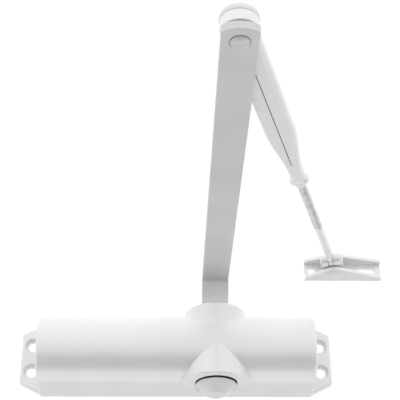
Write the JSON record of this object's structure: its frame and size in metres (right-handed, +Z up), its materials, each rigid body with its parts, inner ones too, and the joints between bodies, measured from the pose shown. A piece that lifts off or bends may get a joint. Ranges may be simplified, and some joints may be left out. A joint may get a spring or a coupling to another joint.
{
  "type": "overhead door closer",
  "caption": "Rack-and-pinion overhead door closer with a cranked main arm, an adjustable forearm and a channel shoe for the frame.",
  "frame": {"origin": "centre of the four body screw holes, on the back plane that lies on the door", "axes": "+X along the body towards the pinion end, +Y into the door, +Z up, arms folded as with the door shut"},
  "size_m": [0.2521, 0.3048, 0.0964],
  "materials": {
    "body_paint": "satin",
    "arm_paint": "satin",
    "forearm_paint": "satin",
    "bright_steel": "ground",
    "zinc_steel": "zinc plated",
    "spring_steel": "oiled",
    "bronze": "machined",
    "seal_rubber": "matt",
    "white_plastic": "satin",
    "black_plastic": "satin"
  },
  "bodies": {
    "body": {"body_casting": "body_paint", "left_end_plug": "zinc_steel", "right_end_plug": "zinc_steel", "left_plug_o_ring": "seal_rubber", "right_plug_o_ring": "seal_rubber", "upper_bearing": "bronze", "lower_bearing": "bronze", "upper_shaft_seal": "seal_rubber", "lower_shaft_seal": "seal_rubber", "upper_gland_nut": "zinc_steel", "lower_gland_nut": "zinc_steel", "lower_pinion_cap": "white_plastic", "lower_cap_seal": "seal_rubber", "closing_spring": "spring_steel"},
    "piston": {"piston": "bright_steel", "check_valve_ball": "bright_steel", "check_valve_retainer": "bright_steel"},
    "sweep_valve": {"sweep_valve": "zinc_steel", "sweep_valve_o_ring": "seal_rubber"},
    "latch_valve": {"latch_valve": "zinc_steel", "latch_valve_o_ring": "seal_rubber"},
    "main_arm": {"pinion_shaft": "bright_steel", "main_arm": "arm_paint", "arm_washer": "zinc_steel", "arm_screw": "zinc_steel", "elbow_rivet": "arm_paint", "elbow_washer": "black_plastic"},
    "forearm": {"forearm_sleeve": "forearm_paint", "elbow_bush": "bronze", "elbow_cap": "white_plastic", "lock_nut": "forearm_paint"},
    "rod": {"forearm_rod": "zinc_steel"},
    "knuckle": {"knuckle": "forearm_paint", "knuckle_pin": "forearm_paint"},
    "shoe": {"shoe_bracket": "forearm_paint", "shoe_pin": "forearm_paint"}
  },
  "joints": [
    {"name": "pinion_turn", "type": "hinge", "parent": "body", "child": "main_arm", "pos_m": [0.0269, -0.0178, 0], "axis": [0, 0, 1], "range_deg": [0, 160], "stiffness_Nm_per_rad": 6, "springref_deg": -114.59},
    {"name": "piston_slide", "type": "slide", "parent": "body", "child": "piston", "axis": [1, 0, 0], "range_m": [-0.0225, 0], "deforming": ["closing_spring"]},
    {"name": "sweep_valve_turn", "type": "hinge", "parent": "body", "child": "sweep_valve", "pos_m": [0.094, -0.0086, 0.0188], "axis": [1, 0, 0], "range_deg": [-180, 180]},
    {"name": "latch_valve_turn", "type": "hinge", "parent": "body", "child": "latch_valve", "pos_m": [0.094, -0.0086, -0.0188], "axis": [1, 0, 0], "range_deg": [-180, 180]},
    {"name": "elbow", "type": "hinge", "parent": "main_arm", "child": "forearm", "pos_m": [0.02921, -0.29399, 0.0548], "axis": [0, 0, 1], "range_deg": [-150, 8]},
    {"name": "rod_adjust", "type": "slide", "parent": "forearm", "child": "rod", "axis": [0.3039, 0.9527, 0], "range_m": [-0.008, 0.02]},
    {"name": "knuckle_tilt", "type": "hinge", "parent": "rod", "child": "knuckle", "pos_m": [0.10658, -0.05143, 0.0548], "axis": [0.9527, -0.3039, 0], "range_deg": [-6, 6]},
    {"name": "shoe_swivel", "type": "hinge", "parent": "knuckle", "child": "shoe", "pos_m": [0.10953, -0.04219, 0.0548], "axis": [0, 0, 1], "range_deg": [-25, 25]}
  ],
  "couplings": [
    {"joint": "piston_slide", "follows": "pinion_turn", "m_per_rad": -0.008}
  ]
}
